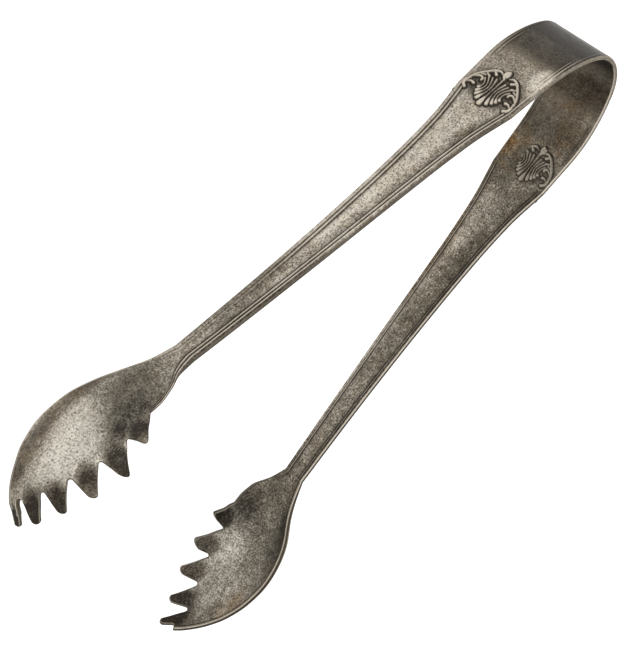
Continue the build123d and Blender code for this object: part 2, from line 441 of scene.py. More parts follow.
def rounding(d, radius):
    """How far the face has dropped at distance d from a rounded edge."""
    inside = np.clip(radius - d, 0, radius)
    return radius - np.sqrt(radius**2 - inside**2)


def thread_relief(d, first, second, outside):
    """Height of the thread lines at distance d from the edge, by their strengths."""
    height = np.zeros_like(d)
    for (start, end, tall), strength in zip(BEADS[outside], (first, second)):
        height = height + tall * strength * bead(d, (start, end))
    for middle in GROOVES[outside]:
        height = height - GROOVE_DEPTH * second * bell(d / MM, middle, GROOVE_WIDTH)
    return height * MM


def thread_tones(d, first, second, outside, lower):
    """Wear and painted highlights on the thread lines, oxide in their grooves and painted shade
    beside the last one, at distance d.
    """
    by_edge = [np.array(THREAD_SHINE[outside, edge])[:, None] for edge in ("lower", "upper")]
    corner, *shines = np.where(lower, *by_edge)
    d = d / MM
    worn = corner * bell(d, *CORNER_LINE)
    oxide = np.zeros_like(d)
    for (start, end, _), strength, shine in zip(BEADS[outside], (first, second), shines):
        # a bead shines most a little past its middle
        worn = worn + shine * strength * bell(d, start * 0.4 + end * 0.6, (end - start) * 0.3)
    for middle, (amount, width) in zip(GROOVES[outside], GROOVE_OXIDE[outside]):
        oxide = oxide + amount * second * bell(d, middle, width)
    # painted shade beside the last groove
    amount, beside, width = SHADE_BESIDE_GROOVE
    return worn, oxide + amount * second * bell(d, GROOVES[outside][-1] + beside, width)


def border_shade(d, outside, lower):
    """Painted shade along the strip's border, at distance d."""
    shades = []
    for edge in ("lower", "upper"):
        start, end, amount = BORDER_SHADE[outside, edge]
        begun = smooth_step(d / MM, start - BORDER_BLUR, start + BORDER_BLUR)
        ended = smooth_step(d / MM, end - BORDER_BLUR, end + BORDER_BLUR)
        shades.append(amount * begun * (1 - ended))
    return np.where(lower, *shades)


def rise(s, places):
    """0 before the first and 1 after the second of two places in mm along the strip."""
    return smooth_step(s, places[0] * MM, places[1] * MM)


def thread_strengths(s):
    """Strengths of the first and second thread line along the strip."""
    bow_end, _, _ = arc_ends()
    shoulder = bow_end + bpy.context.scene.tongs_strip.shoulder
    first = FIRST_ON_BOW + (1 - FIRST_ON_BOW) * rise(s, FIRST_GROWS)
    second = smooth_step(s, shoulder - 0.6 * MM, shoulder + 1.0 * MM)
    early = SECOND_ON_BOW * rise(s, SECOND_SHOWS) * (1 - rise(s, SECOND_FADES))
    return first, np.maximum(second, early)


# distances from the edge at which each face is sampled, in mm, round the strip's corner
OUTER_STEPS = (
    2.7, 2.45, 2.3, 2.15, 2.06, 1.97, 1.86, 1.78, 1.68, 1.58, 1.5, 1.42, 1.34, 1.25, 1.17,
    1.09, 1.0, 0.94, 0.82, 0.68, 0.55, 0.42, 0.3, 0.2, 0.14, 0.1, 0.06, 0.03, 0.01, 0.0,
)
INNER_STEPS = (
    0.0, 0.01, 0.03, 0.07, 0.13, 0.22, 0.32, 0.45, 0.6, 0.72, 0.82, 0.9, 0.97, 1.04, 1.12,
    1.2, 1.3, 1.42, 1.6, 2.0, 2.7,
)
WALL_STEPS = 5  # down the sheet's cut edge
FIELD_COLUMNS = 40  # across the plain field of each face
CORNER = 0.21  # mm from the edge within which the face takes the cut edge's painted shade
CORNER_SHARE = {True: 0.2, False: 0.8}  # the share of the way down that edge it looks like
EDGE_HOLLOW = 0.05  # mm; the cut edge is a little hollow

# the strip's cut edge, on the bow and, past it, along the lower and the upper edge: how
# much its outer and inner corners are rubbed and given a painted highlight, its oxide (down
# its middle on the bow, at the outer corner past it) and its film, which is painted shade
EDGE_TONES = {
    "bow": (0.6, 0.8, 0.6, 0.42),
    "lower": (0.3, 0.1, 0.0, 0.68),
    "upper": (0.0, 0.9, 0.5, 0.8),
}
BOW_LOOK_ENDS = (34, 44)  # mm from the crown
EDGE_GOLD = 0.35
EDGE_GRIT = 0.4


def wall_tones(s, share, lower):
    """Wear with painted highlights, oxide, and painted shade as film down the sheet's cut edge, from
    its outer to its inner corner.
    """
    bow = 1 - rise(s, BOW_LOOK_ENDS)
    outer, inner, corner_oxide, film = EDGE_TONES["lower" if lower else "upper"]
    bow_outer, bow_inner, middle_oxide, bow_edge_shade = EDGE_TONES["bow"]
    worn = (outer + (bow_outer - outer) * bow) * bell(share, 0, 0.15)
    worn = worn + (inner + (bow_inner - inner) * bow) * bell(share, 1, 0.15)
    oxide = middle_oxide * bow * bell(share, 0.55, 0.16)
    oxide = oxide + corner_oxide * (1 - bow) * bell(share, 0, 0.2)
    return worn, oxide, film * (1 - bow) + bow_edge_shade * bow


def cross_sections(s):
    """Rings of points across the strip, with their worn and painted-highlight, oxide and cut-edge
    painted-shade tones.
    """
    strip = bpy.context.scene.tongs_strip
    width = half_width(s)
    first, second = thread_strengths(s)
    half_sheet, rounded = strip.sheet / 2, strip.edge_round
    upper_fade = 1 - UPPER_WORN[2] * rise(s, UPPER_WORN[:2])
    columns = []

    def face_column(side, step, outside):
        d = np.full_like(s, step * MM)
        fade = upper_fade if outside and side > 0 else 1.0
        height = half_sheet - rounding(d, rounded) + thread_relief(d, first, second * fade, outside)
        tones = thread_tones(d, first * fade, second * fade, outside, side < 0)
        edge_shade = wall_tones(s, CORNER_SHARE[outside], side < 0)[2] if step < CORNER else 0 * s
        columns.append((side * (width - d), height if outside else -height, *tones, edge_shade))

    def field_column(share, outside):
        v = (width - OUTER_STEPS[0] * MM) * share
        height = np.full_like(s, half_sheet if outside else -half_sheet)
        columns.append((v, height, 0 * s, 0 * s, 0 * s))

    def wall_column(side, share):
        height = np.full_like(s, (half_sheet - rounded) * (1 - 2 * share))
        hollow = EDGE_HOLLOW * MM * bell(share, 0.5, 0.25)
        columns.append((side * (width - hollow), height, *wall_tones(s, share, side < 0)))

    shares = np.linspace(-1, 1, FIELD_COLUMNS + 2)[1:-1]
    for share in shares:
        field_column(share, True)
    for step in OUTER_STEPS:
        face_column(1, step, True)
    for number in range(1, WALL_STEPS):
        wall_column(1, number / WALL_STEPS)
    for step in INNER_STEPS:
        face_column(1, step, False)
    for share in shares[::-1]:
        field_column(share, False)
    for step in INNER_STEPS[::-1]:
        face_column(-1, step, False)
    for number in range(WALL_STEPS - 1, 0, -1):
        wall_column(-1, number / WALL_STEPS)
    for step in OUTER_STEPS[::-1]:
        face_column(-1, step, True)
    return [np.stack(part, 1) for part in zip(*columns)]


# ---- tarnish, painted shade and painted highlights ---------------------------
# how dark the tarnish film and the painted shade and reflections are along the strip: mm from the
# crown, and darkness
FILM_AND_PAINTED_LIGHT = {
    True: (
        (0, 0.97), (4, 0.84), (8, 0.97), (12, 1.0), (16, 0.84), (20, 0.84), (24.5, 0.45),
        (32, 0.38), (40, 0.24), (56, 0.13), (80, 0.05), (88, 0.08), (97, 0.4), (112, 0.48),
        (121, 0.42), (128, 0.28), (134, 0.4), (140, 0.48), (146, 0.4), (151, 0.16), (160, 0.06),
        (166, 0.2), (172, 0.42), (180, 0.6),
    ),
    False: (
        (0, 0.85), (5, 0.75), (9, 0.88), (13, 0.8), (17, 0.52), (24, 0.66), (30, 0.44),
        (42, 0.5), (50, 0.44), (57, 0.38), (64, 0.5), (80, 0.53), (96, 0.5), (106, 0.42),
        (114, 0.44), (124, 0.53), (131, 0.56), (138, 0.63), (144, 0.55), (150, 0.42),
        (160, 0.37), (166, 0.42), (172, 0.65), (180, 0.75),
    ),
}
# stains, painted shade and painted highlights: mm from the crown, mm across, their radii, and
# darkness added, lighter where less than none
STAINS_AND_PAINTED_LIGHT = {
    True: (
        (144.6, -4.0, 6.8, 4.0, 0.38), (141.0, 1.5, 7.5, 2.4, 0.16), (154, 8.0, 12.0, 2.6, 0.36),
        (159, 7.0, 4.5, 2.0, 0.22), (157, -6.0, 9.0, 1.8, 0.2), (166, 6.0, 6.0, 3.6, 0.3),
        (4, -7.0, 2.6, 5.0, -0.14), (26, -5.0, 4.0, 4.0, -0.06), (26, -6.9, 4.0, 1.8, -0.5),
        (149, -5.2, 2.6, 1.6, 0.3), (153, -9.2, 3.6, 3.0, 0.3), (144.5, -8.5, 3.6, 2.2, -0.6),
        (100, -1.4, 8.0, 1.3, -0.34), (159, -8.0, 3.0, 2.0, 0.24), (160, 4.0, 5.0, 2.0, 0.16),
        (169, -2.3, 2.5, 1.4, 0.26), (169, 4.4, 3.0, 1.6, 0.2),
    ),
    False: (
        (139, -4.6, 4.5, 2.6, 0.22), (150, -2.2, 5.5, 2.6, -0.18), (146, 6.0, 8.0, 3.0, 0.14),
        (151, 2.6, 4.5, 2.4, 0.15), (165, 4.2, 3.0, 1.6, 0.2), (170, -0.5, 3.0, 2.4, 0.3),
        (58, -2.6, 11.0, 2.0, -0.16), (62, 3.0, 16.0, 2.2, 0.07), (6, -4.0, 4.0, 4.0, -0.16),
        (22, 6.5, 9.0, 2.2, -0.12), (170, -2.5, 3.5, 2.0, 0.28), (90, -3.1, 24.0, 1.2, -0.34),
        (88, 3.1, 12.0, 1.0, -0.16), (56, 1.9, 6.0, 1.6, 0.2),
    ),
}
# golden tarnish: mm from the crown, mm across, radii and strength
GOLD = {
    True: ((152, 8.0, 12.0, 2.6, 0.5), (168, 6.0, 8.0, 3.4, 0.45), (12, 7.5, 8.0, 2.0, 0.4)),
    False: (
        (31, -5.5, 6.0, 3.2, 1.0), (12, 0.0, 10.0, 9.0, 0.4), (60, -4.6, 16.0, 1.4, 0.7),
        (163, 7.5, 8.0, 2.6, 0.95), (176, 1.0, 4.0, 3.0, 0.4), (24, 5.0, 6.0, 4.0, 0.35),
    ),
}
GOLD_ALL_OVER = 0.22  # as far as the claws, where it ends between these places
GOLD_ENDS = (128, 146)
# how strongly the surface is speckled along the strip: mm from the crown, and share
GRIT = {
    True: ((0, 0.35), (21, 0.4), (27, 0.8), (45, 0.95), (130, 1.0), (142, 0.8), (180, 0.7)),
    False: ((0, 0.45), (15, 0.55), (30, 0.85), (60, 1.0), (135, 1.0), (150, 0.9), (180, 0.75)),
}
# painted shade beside the outer face's thread lines: the lower (-1) or upper edge, mm from
# it, width in mm and darkness; it starts and ends between these places
SHADE_BESIDE_THREADS = ((-1, 2.9, 1.3, 0.28), (1, 1.5, 0.6, 0.3))
BESIDE_STARTS = (38, 44)
BESIDE_ENDS = (90, 102)


def spots(s, v, table):
    """Sum of soft round patches on the strip."""
    total = np.zeros_like(s)
    for middle, across, along_radius, across_radius, strength in table:
        reach = ((s / MM - middle) / along_radius) ** 2 + ((v / MM - across) / across_radius) ** 2
        total = total + strength * np.exp(-(reach**1.3))
    return total


def tarnish_and_painted_light(s, v, outside):
    """The dark film with its painted shade and highlights, the golden film and the speckle at a place
    on one face.
    """
    film = smooth_curve(s / MM, FILM_AND_PAINTED_LIGHT[outside]) + spots(s, v, STAINS_AND_PAINTED_LIGHT[outside])
    if outside:
        along = rise(s, BESIDE_STARTS) * (1 - rise(s, BESIDE_ENDS))
        for edge, middle, width, dark in SHADE_BESIDE_THREADS:
            film = film + dark * along * bell(half_width(s) - edge * v, middle * MM, width * MM)
    gold = spots(s, v, GOLD[outside]) + GOLD_ALL_OVER * (1 - rise(s, GOLD_ENDS))
    return film, gold, smooth_curve(s / MM, GRIT[outside])


def shell_place(outside):
    """Where a shell's middle is, along and across the strip in mm, and its size."""
    if outside:
        return SHELL_MIDDLE, 0.0, 1.0
    shift_along, shift_across = INNER_SHIFT
    return SHELL_MIDDLE + shift_along, shift_across, bpy.context.scene.tongs_relief.inner_share


def shell_shadow(s, v, outside):
    """Oxide that has gathered on the strip round a shell."""
    middle, centre, share = shell_place(outside)
    to_bow, to_claw, to_side = SHELL_REACH
    along = (s / MM - middle) / share
    across = (v / MM - centre) / share
    reach = np.hypot(np.where(along < 0, along / to_bow, along / to_claw), across / to_side)
    return SHELL_STRENGTH[outside][1] * (1 - smooth_step(reach, 0.8, 1.2))


# ---- meshes ------------------------------------------------------------------
def select_only(piece):
    """Makes a piece the only selected and the active object."""
    bpy.ops.object.select_all(action="DESELECT")
    piece.select_set(True)
    bpy.context.view_layer.objects.active = piece


def grid_piece(name, rows, columns):
    """A flat grid of rows by columns, whose points are then placed one by one."""
    bpy.ops.object.select_all(action="DESELECT")
    bpy.ops.mesh.primitive_grid_add(x_subdivisions=columns - 1, y_subdivisions=rows - 1, size=1)
    piece = bpy.context.object
    piece.name = name
    piece.data.name = name
    return piece


def place_points(piece, places):
    """Moves the points of a mesh, in its own order."""
    piece.data.vertices.foreach_set("co", np.asarray(places, np.float32).ravel())
    piece.data.update()


TONES = ("worn", "oxide", "film", "gold", "grit")
SEAM = 0.002  # mm between points that are one
SMOOTH_ANGLE = 42  # degrees; sharper folds stay edges
SHELL_SMOOTH_ANGLE = 60


def set_tones(piece, *tones):
    """Stores at each point how worn it is with its painted highlight, how much oxide it has, and its
    tarnish with painted shade and highlights.
    """
    for name, values in zip(TONES, tones, strict=True):
        attribute = piece.data.attributes.new(name, "FLOAT", "POINT")
        attribute.data.foreach_set("value", np.clip(values, 0, 1).astype(np.float32).ravel())


def close_and_smooth(piece):
    """Joins a piece's seams, caps its open ends and shades it smooth."""
    select_only(piece)
    bpy.ops.object.mode_set(mode="EDIT")
    bpy.ops.mesh.select_all(action="SELECT")
    bpy.ops.mesh.remove_doubles(threshold=SEAM * MM)
    bpy.ops.mesh.fill_holes(sides=0)
    bpy.ops.mesh.select_all(action="SELECT")
    bpy.ops.mesh.normals_make_consistent(inside=False)
    bpy.ops.object.mode_set(mode="OBJECT")
    bpy.ops.object.shade_smooth_by_angle(angle=radians(SMOOTH_ANGLE))


def turned_copy(piece, name):
    """The left half's copy of a right piece: half a turn about X."""
    copy = piece.copy()
    copy.data = piece.data.copy()
    copy.name = name
    copy.data.name = name
    copy.data.transform(Matrix.Rotation(np.pi, 4, "X"))
    bpy.context.scene.collection.objects.link(copy)
    return copy


def strip_piece(name, stations):
    """A stretch of the right half of the strip, as a closed mesh."""
    v, h, worn, oxide, edge_shade = cross_sections(stations)
    rows, columns = v.shape
    s = np.repeat(stations[:, None], columns, 1)
    outside = h > 0
    shadow = np.where(outside, shell_shadow(s, v, True), shell_shadow(s, v, False))
    film, gold, grit = np.where(outside, tarnish_and_painted_light(s, v, True), tarnish_and_painted_light(s, v, False))
    d = half_width(s) - np.abs(v)
    # painted shade along the border; on the cut edge its painted shade takes the film's place
    border = np.where(outside, border_shade(d, True, v < 0), border_shade(d, False, v < 0))
    film = np.where(edge_shade > 0, edge_shade, film + rise(s, BORDER_STARTS) * border)
    gold = np.where(edge_shade > 0, EDGE_GOLD, gold)
    grit = np.where(edge_shade > 0, EDGE_GRIT, grit)
    parts = [s, v, h, worn, np.maximum(oxide, shadow), film, gold, grit]
    s, v, h, *tones = [np.concatenate([part, part[:, :1]], 1) for part in parts]
    piece = grid_piece(name, rows, columns + 1)
    place_points(piece, on_strip(s.ravel(), v.ravel(), h.ravel()))
    set_tones(piece, *tones)
    close_and_smooth(piece)
    return piece


# ---- the shells --------------------------------------------------------------
def stroke_points(rows, count=28):
    """Evenly spread points along a smooth stroke, each with its width."""
    rows = np.array(rows, float)
    if len(rows) == 2:
        t = np.linspace(0, 1, count)[:, None]
        return rows[0] * (1 - t) + rows[1] * t
    padded = np.vstack([2 * rows[0] - rows[1], rows, 2 * rows[-1] - rows[-2]])
    t = np.linspace(0, len(rows) - 1.0001, count)
    i = t.astype(int)
    u = (t - i)[:, None]
    a, b, c, d = (padded[i + k] for k in range(4))
    square, cube = 2 * a - 5 * b + 4 * c - d, 3 * b - a - 3 * c + d
    return 0.5 * (2 * b + (c - a) * u + square * u**2 + cube * u**3)


def rib_strokes():
    """The shell's ribs: they draw together at the waist and spread at both ends."""
    strokes = []
    for waist, to_claw, to_bow, tip in SHELL_RIBS:
        along = np.linspace(-to_bow, to_claw, 26)
        across = waist * np.sqrt(1 + (along / RIB_FLARE) ** 2)
        grow = smooth_step(along, 0.35 * to_claw, to_claw)
        width = RIB_WIDTH + (tip - RIB_WIDTH) * grow
        width = width + RIB_BOW_WIDTH * smooth_step(-along, 0, to_bow)
        for side in (1, -1) if waist else (1,):
            strokes.append(np.stack([along + RIB_WAIST, side * across, width], 1))
    return strokes


def shell_strokes():
    """Every stroke of the shell: ribs, knob, and the frames on both sides."""
    strokes = rib_strokes() + [stroke_points(rows) for rows in SHELL_KNOB]
    for rows in SHELL_STROKES:
        points = stroke_points(rows)
        strokes.append(points)
        strokes.append(points * (1, -1, 1))
    return strokes


def shell_heights(x, y):
    """How high the shell's strokes rise at each place, 0 to 1, and how near the next one is."""
    dome = np.zeros_like(x)
    near = np.full_like(x, np.inf)
    for stroke in shell_strokes():
        for px, py, width in stroke:
            reach = np.hypot(x - px, y - py)
            tall = min(1, 0.45 + 0.55 * width)  # strokes narrower than 1 mm are lower
            dome = np.maximum(dome, tall * np.sqrt(np.clip(1 - (2 * reach / width) ** 2, 0, 1)))
            near = np.minimum(near, reach - width / 2)
    return dome, near


def shell_piece(name, outside):
    """One shell as a field of heights on the strip's face."""
    middle, centre, share = shell_place(outside)
    strength, _, shade_between, oxide_between, shine_on = SHELL_STRENGTH[outside]
    relief = bpy.context.scene.tongs_relief
    half_sheet = bpy.context.scene.tongs_strip.sheet / 2
    cell = relief.shell_cell / MM
    to_bow, to_claw, to_side = SHELL_FIELD
    along = np.arange(-to_bow, to_claw, cell)
    across = np.arange(-to_side, to_side + cell, cell)
    x, y = np.meshgrid(along, across, indexing="ij")
    dome, near = shell_heights(x, y)
    kept = 1.0 if outside else smooth_step(y, *INNER_KEPT)
    dome = dome * kept
    ground = GROUND_SHARE * (1 - smooth_step(near, *GROUND_EDGE)) * kept
    height = (DOME_SHARE * dome + ground) * relief.shell_height * strength * share
    sunk = np.where((near > 0.38) | (kept < 0.1), -SHELL_SUNK * MM, 0)
    side = 1 if outside else -1
    s = (middle + x * share) * MM
    v = (centre + y * share) * MM
    h = side * (half_sheet + height + sunk)
    piece = grid_piece(name, len(along), len(across))
    place_points(piece, on_strip(s.ravel(), v.ravel(), h.ravel()))
    film, gold, grit = tarnish_and_painted_light(s, v, outside)
    # painted shade between the ribs and a painted highlight on their tops
    film = film + shade_between * (1 - smooth_step(dome, 0.4, 0.85))
    recess = kept * (1 - smooth_step(dome, 0.15, 0.6))
    shine = smooth_step(dome, 0.45, 0.95)
    set_tones(piece, shine_on * shine, oxide_between * recess, film, gold, SHELL_GRIT * grit)
    select_only(piece)
    thicken = piece.modifiers.new("Root", "SOLIDIFY")
    thicken.thickness = SHELL_ROOT * MM
    thicken.offset = -1 if outside else 1
    bpy.ops.object.modifier_apply(modifier=thicken.name)
    bpy.ops.object.mode_set(mode="EDIT")
    bpy.ops.mesh.select_all(action="SELECT")
    bpy.ops.mesh.normals_make_consistent(inside=False)
    bpy.ops.object.mode_set(mode="OBJECT")
    bpy.ops.object.shade_smooth_by_angle(angle=radians(SHELL_SMOOTH_ANGLE))
    return piece


# ---- the claws ---------------------------------------------------------------
NECK_BEND = 0.012  # curvature across the sheet at the neck, per mm
AT_NECK = 1e-6  # m; a point that is nearer to the neck's line lies on it
EDGE_SPACING = 0.45  # mm between the points of the claw's rim and lower edge
RIM_GAPS = (0.4, 0.5)  # mm without points at the rim's neck and at its end
LOW_GAPS = (0.4, 0.4)  # the same on the lower edge
CORNER_SPACING = 0.4  # mm between the outline's points past its rounded corners
CORNER_POINTS = 9  # in each rounded corner
FIELD_SPACING = 0.42  # mm between the points inside the claw
ROUND_STEPS = (1.0, 0.62, 0.3, 0.1, 0.0)  # rings of the cut edge, as shares of its rounding
# mm from the claw's edge at which the thread lines get rows of points
THREAD_ROWS = (
    0.36, 0.52, 0.68, 0.85, 1.0, 1.12, 1.24, 1.36, 1.48, 1.6, 1.74, 1.88, 2.02, 2.16, 2.35,
)
# the cut edge on the claw's rim, along its lower edge and at its teeth: how brightly its
# corners are rubbed and given a painted highlight, and how dark its film and painted shade are
CLAW_EDGE_TONES = ((0.85, 0.62), (0.1, 0.7), (0.5, 0.78))
TOOTH_FILM_AND_SHADE = {True: 0.58, False: 0.45}  # darker film and painted shade on the teeth
TOOTH_GOLD = 0.25
TOOTH_ROOT = 1.2  # mm; half a tooth's width is never taken as less
RIM_SECOND = 0.4  # how strong the rim's second thread line is at the neck
RIM_SECOND_ENDS = (3, 12)  # mm from the neck, between which that line fades away
SQUEEZED = (8, 0.6)  # over how many mm from the neck the lower lines draw in, and how much
THREADED = 0.3  # an edge whose lines are stronger than that has rows of points for them
THREAD_BORDER = 2.5  # mm of the face that they take up
ROW_HEIGHT = 0.866  # of the field's rows of points, as a share of its spacing


def bowl_at(along):
    """The bowl's curvature and the height of its crest along the claw."""
    length = sum(length for length, _ in strip_arcs()[3:])
    bend_table = [(0, NECK_BEND)] + [(share * length, 1 / radius) for share, radius, _ in BOWL]
    crest_table = [(0, 0)] + [(share * length, crest * MM) for share, _, crest in BOWL]
    return smooth_curve(along, bend_table) / MM, smooth_curve(along, crest_table)


def on_claw(along, around, h):
    """World places on the right claw: along the crest, around the bowl, off the sheet."""
    bend, crest = bowl_at(along)
    _, neck, _ = arc_ends()
    tilt = around * bend
    out = (np.cos(tilt) - 1) / bend + h * np.cos(tilt)
    x, y, heading = middle_line(neck + along)
    z = crest + np.sin(tilt) / bend + h * np.sin(tilt)
    return np.stack([x - np.sin(heading) * out, y + np.cos(heading) * out, z], -1)


def around_bowl(along, height):
    """Distance around the bowl from its crest to a height."""
    bend, crest = bowl_at(along)
    return np.arcsin(np.clip((height - crest) * bend, -1, 1)) / bend


def rounded_corners(points, radii):
    """An outline whose given corners become arcs through them, in even steps."""
    count = len(points)
    out = []
    for i in range(count):
        here, before, after = points[i], points[i - 1], points[(i + 1) % count]
        if radii[i] == 0:
            out.append(here)
            continue
        one = (before - here) / np.linalg.norm(before - here)
        two = (after - here) / np.linalg.norm(after - here)
        half = np.arccos(np.clip(one @ two, -1, 1)) / 2
        bisector = (one + two) / np.linalg.norm(one + two)
        centre = here + bisector * radii[i]
        sweep = np.pi / 2 - half
        side = np.array([-bisector[1], bisector[0]])
        if one @ side <= 0:
            side = -side
        for turn in np.linspace(-sweep, sweep, CORNER_POINTS):
            out.append(centre + radii[i] * (-bisector * np.cos(turn) - side * np.sin(turn)))
    divided = []
    for one, two in zip(out, out[1:] + out[:1]):
        pieces = max(1, int(np.ceil(np.linalg.norm(two - one) / CORNER_SPACING)))
        divided += [one + (two - one) * k / pieces for k in range(pieces)]
    return np.array(divided)


def claw_outline(half):
    """The claw's edge as (along, around) points, and how strong its thread lines are."""
    claw = bpy.context.scene.tongs_claw
    rounded = bpy.context.scene.tongs_strip.edge_round / MM
    rim_table, low_table = RIM[half], LOW_EDGE[half]
    rim_along = np.arange(RIM_GAPS[0], rim_table[-1][0] - RIM_GAPS[1], EDGE_SPACING)
    low_along = np.arange(LOW_GAPS[0], low_table[-1][0] - LOW_GAPS[1], EDGE_SPACING)
    rim = np.stack([rim_along, smooth_curve(rim_along, rim_table)], 1)[::-1]
    low = np.stack([low_along, smooth_curve(low_along, low_table)], 1)
    neck_half = rim_table[0][1]
    steps = [step for step in OUTER_STEPS if step > rounded + 0.05]
    lower_steps = [2 * neck_half - step for step in steps]
    neck_steps = [0, *steps[::-1], neck_half, *lower_steps, 2 * neck_half]
    corners = [(0, neck_half - step) for step in neck_steps] + [tuple(point) for point in low]
    radii = [0] * len(corners)
    corners.append(low_table[-1])
    radii.append(claw.notch_round / MM)
    for number, point in enumerate(TEETH[half]):
        tip = number % 2 == 0
        radius = claw.tip_round * BLUNT[half][number // 2] if tip else claw.notch_round
        corners.append(point)
        radii.append(radius / MM)
    corners += [rim_table[-1]] + [tuple(point) for point in rim]
    radii += [RIM_END_ROUND] + [0] * len(rim)
    points = rounded_corners([np.array(corner, float) for corner in corners], radii) * MM
    along = points[:, 0]
    outline = np.stack([along, around_bowl(along, points[:, 1])], 1)
    low_end = low_table[-1][0] * MM
    above = points[:, 1] > rim_table[-1][1] * MM
    below = 1 - smooth_step(along, low_end - 2.5 * MM, low_end + 0.5 * MM)  # up to the teeth
    threaded = np.where(above, 1.0, below)
    second = np.where(above, RIM_SECOND * (1 - rise(along, RIM_SECOND_ENDS)), threaded)
    return outline, threaded, second


def squeeze(points):
    """How much closer to the edge the thread lines run than on the arm."""
    reach, share = SQUEEZED
    drawn_in = 1 - share * smooth_step(points[:, 0], 0, reach * MM)
    return np.where(points[:, 1] < 0, drawn_in, 1.0)


def inward(outline):
    """Unit directions into the outline; at the neck they run along its end."""
    following = np.roll(outline, -1, 0)
    steps = following - outline
    lengths = np.linalg.norm(steps, axis=1, keepdims=True)
    normals = np.stack([-steps[:, 1], steps[:, 0]], 1) / np.maximum(lengths, 1e-9)
    mean = normals + np.roll(normals, 1, 0)
    mean /= np.linalg.norm(mean, axis=1, keepdims=True)
    area = np.sum(outline[:, 0] * following[:, 1] - outline[:, 1] * following[:, 0])
    mean *= np.sign(area)
    at_neck = outline[:, 0] < AT_NECK
    limit = np.abs(outline[at_neck, 1]).max() - AT_NECK
    mean[at_neck] = 0
    mean[at_neck & (outline[:, 1] >= limit)] = (0, -1)
    mean[at_neck & (outline[:, 1] <= -limit)] = (0, 1)
    return mean


def edge_distance(points, outline, threaded, second):
    """Distance to the outline, apart from the neck, and the thread lines' strengths there."""
    best = np.full(len(points), np.inf)
    strength = np.zeros((2, len(points)))
    for i in range(len(outline)):
        one, two = outline[i], outline[(i + 1) % len(outline)]
        if one[0] < AT_NECK and two[0] < AT_NECK:
            continue
        run = two - one
        t = np.clip((points - one) @ run / (run @ run), 0, 1)
        reach = np.linalg.norm(points - one - t[:, None] * run, axis=1)
        closer = reach < best
        best = np.where(closer, reach, best)
        strength = np.where(closer, np.array([[threaded[i]], [second[i]]]), strength)
    return best, strength


def inside_outline(points, outline):
    """Which points lie inside the outline."""
    x, y = points[:, 0], points[:, 1]
    inside = np.zeros(len(points), bool)
    for one, two in zip(outline, np.roll(outline, -1, 0)):
        if one[1] == two[1]:
            continue
        crosses = (one[1] > y) != (two[1] > y)
        inside ^= crosses & (x < (two[0] - one[0]) * (y - one[1]) / (two[1] - one[1]) + one[0])
    return inside


def tooth_depth(points, half):
    """How far onto a tooth each point lies: 0 above the notches, 1 at the tips."""
    along, around = points[:, 0], points[:, 1]
    tips = TEETH[half][0::2]
    roots = (LOW_EDGE[half][-1],) + TEETH[half][1::2]
    depth = np.zeros(len(points))
    for number, (before, tip) in enumerate(zip(roots, tips)):
        after = roots[number + 1] if number + 1 < len(roots) else PAST_PRONG
        base = (np.array(before, float) + np.array(after, float)) / 2
        tip = np.array(tip, float)
        pair = np.array([base, tip]) * MM
        pair[:, 1] = around_bowl(pair[:, 0], pair[:, 1])
        axis = pair[1] - pair[0]
        reach = np.linalg.norm(axis)
        width = max(np.hypot(*(np.array(after) - np.array(before))) * MM * 0.5, TOOTH_ROOT * MM)
        offset = np.stack([along, around], 1) - pair[0]
        down = offset @ axis / reach
        aside = np.abs(offset @ np.array([-axis[1], axis[0]]) / reach)
        # the press starts along an arch over the tooth's root
        arch = down / reach + 0.5 - 0.7 * (aside / width) ** 2
        depth = np.maximum(depth, smooth_step(arch, 0.0, 0.75) * (aside < 1.3 * width))
    return depth


def claw_face(outline, into, threaded, rounded):
    """One face of the claw's sheet, laid flat: its points, its triangles and the number
    of the point at each place round its border."""
    count = len(outline)
    border = outline + into * rounded
    spacing = FIELD_SPACING * MM
    low, high = outline.min(0), outline.max(0)
    columns = np.arange(low[0], high[0], spacing)
    lines = np.arange(low[1], high[1], spacing * ROW_HEIGHT)
    cloud = np.array([(x + (k % 2) * spacing / 2, y) for k, y in enumerate(lines) for x in columns])
    has_threads = (threaded > THREADED) & (outline[:, 0] > 0.2 * MM)
    rows = np.vstack([(outline + into * (step * MM))[has_threads] for step in THREAD_ROWS])
    distance, strength = edge_distance(cloud, outline, threaded, threaded)
    plain = (strength[0] < THREADED) | (distance > THREAD_BORDER * MM)
    wanted = plain & (distance > rounded + 0.25 * MM) & (cloud[:, 0] > 0.25 * MM)
    cloud = cloud[inside_outline(cloud, border) & wanted]
    distance, _ = edge_distance(rows, outline, threaded, threaded)
    rows = rows[inside_outline(rows, border) & (distance > rounded + 0.03 * MM)]
    points = [Vector(point) for point in np.vstack([border, rows, cloud]) / MM]
    edges = [(i, (i + 1) % count) for i in range(count)]
    made, _, faces, origins, _, _ = delaunay_2d_cdt(points, edges, [], 1, 1e-4, True)
    flat = np.array([tuple(point) for point in made]) * MM
    middles = np.array([flat[list(face)].mean(0) for face in faces])
    faces = [face for face, inside in zip(faces, inside_outline(middles, border)) if inside]
    number_of = {old: new for new, olds in enumerate(origins) for old in olds if old < count}
    return flat, faces, [number_of[i] for i in range(count)]


def claw_edge_tones(share, outline, threaded):
    """Tones of the claw's cut edge, on the ring at that share of its rounding."""
    rim = (threaded > THREADED) & (outline[:, 1] > 0)
    low_edge = (threaded > THREADED) & (outline[:, 1] < 0)
    rubbed_and_highlight, film = (
        np.select([rim, low_edge], values[:2], values[2]) for values in zip(*CLAW_EDGE_TONES)
    )
    oxide = np.where(rim, 0.7 * (share < 0.05), 0.2)
    plain = np.ones(len(outline))
    return rubbed_and_highlight * bell(share, 0.3, 0.22), oxide, film, EDGE_GOLD * plain, EDGE_GRIT * plain


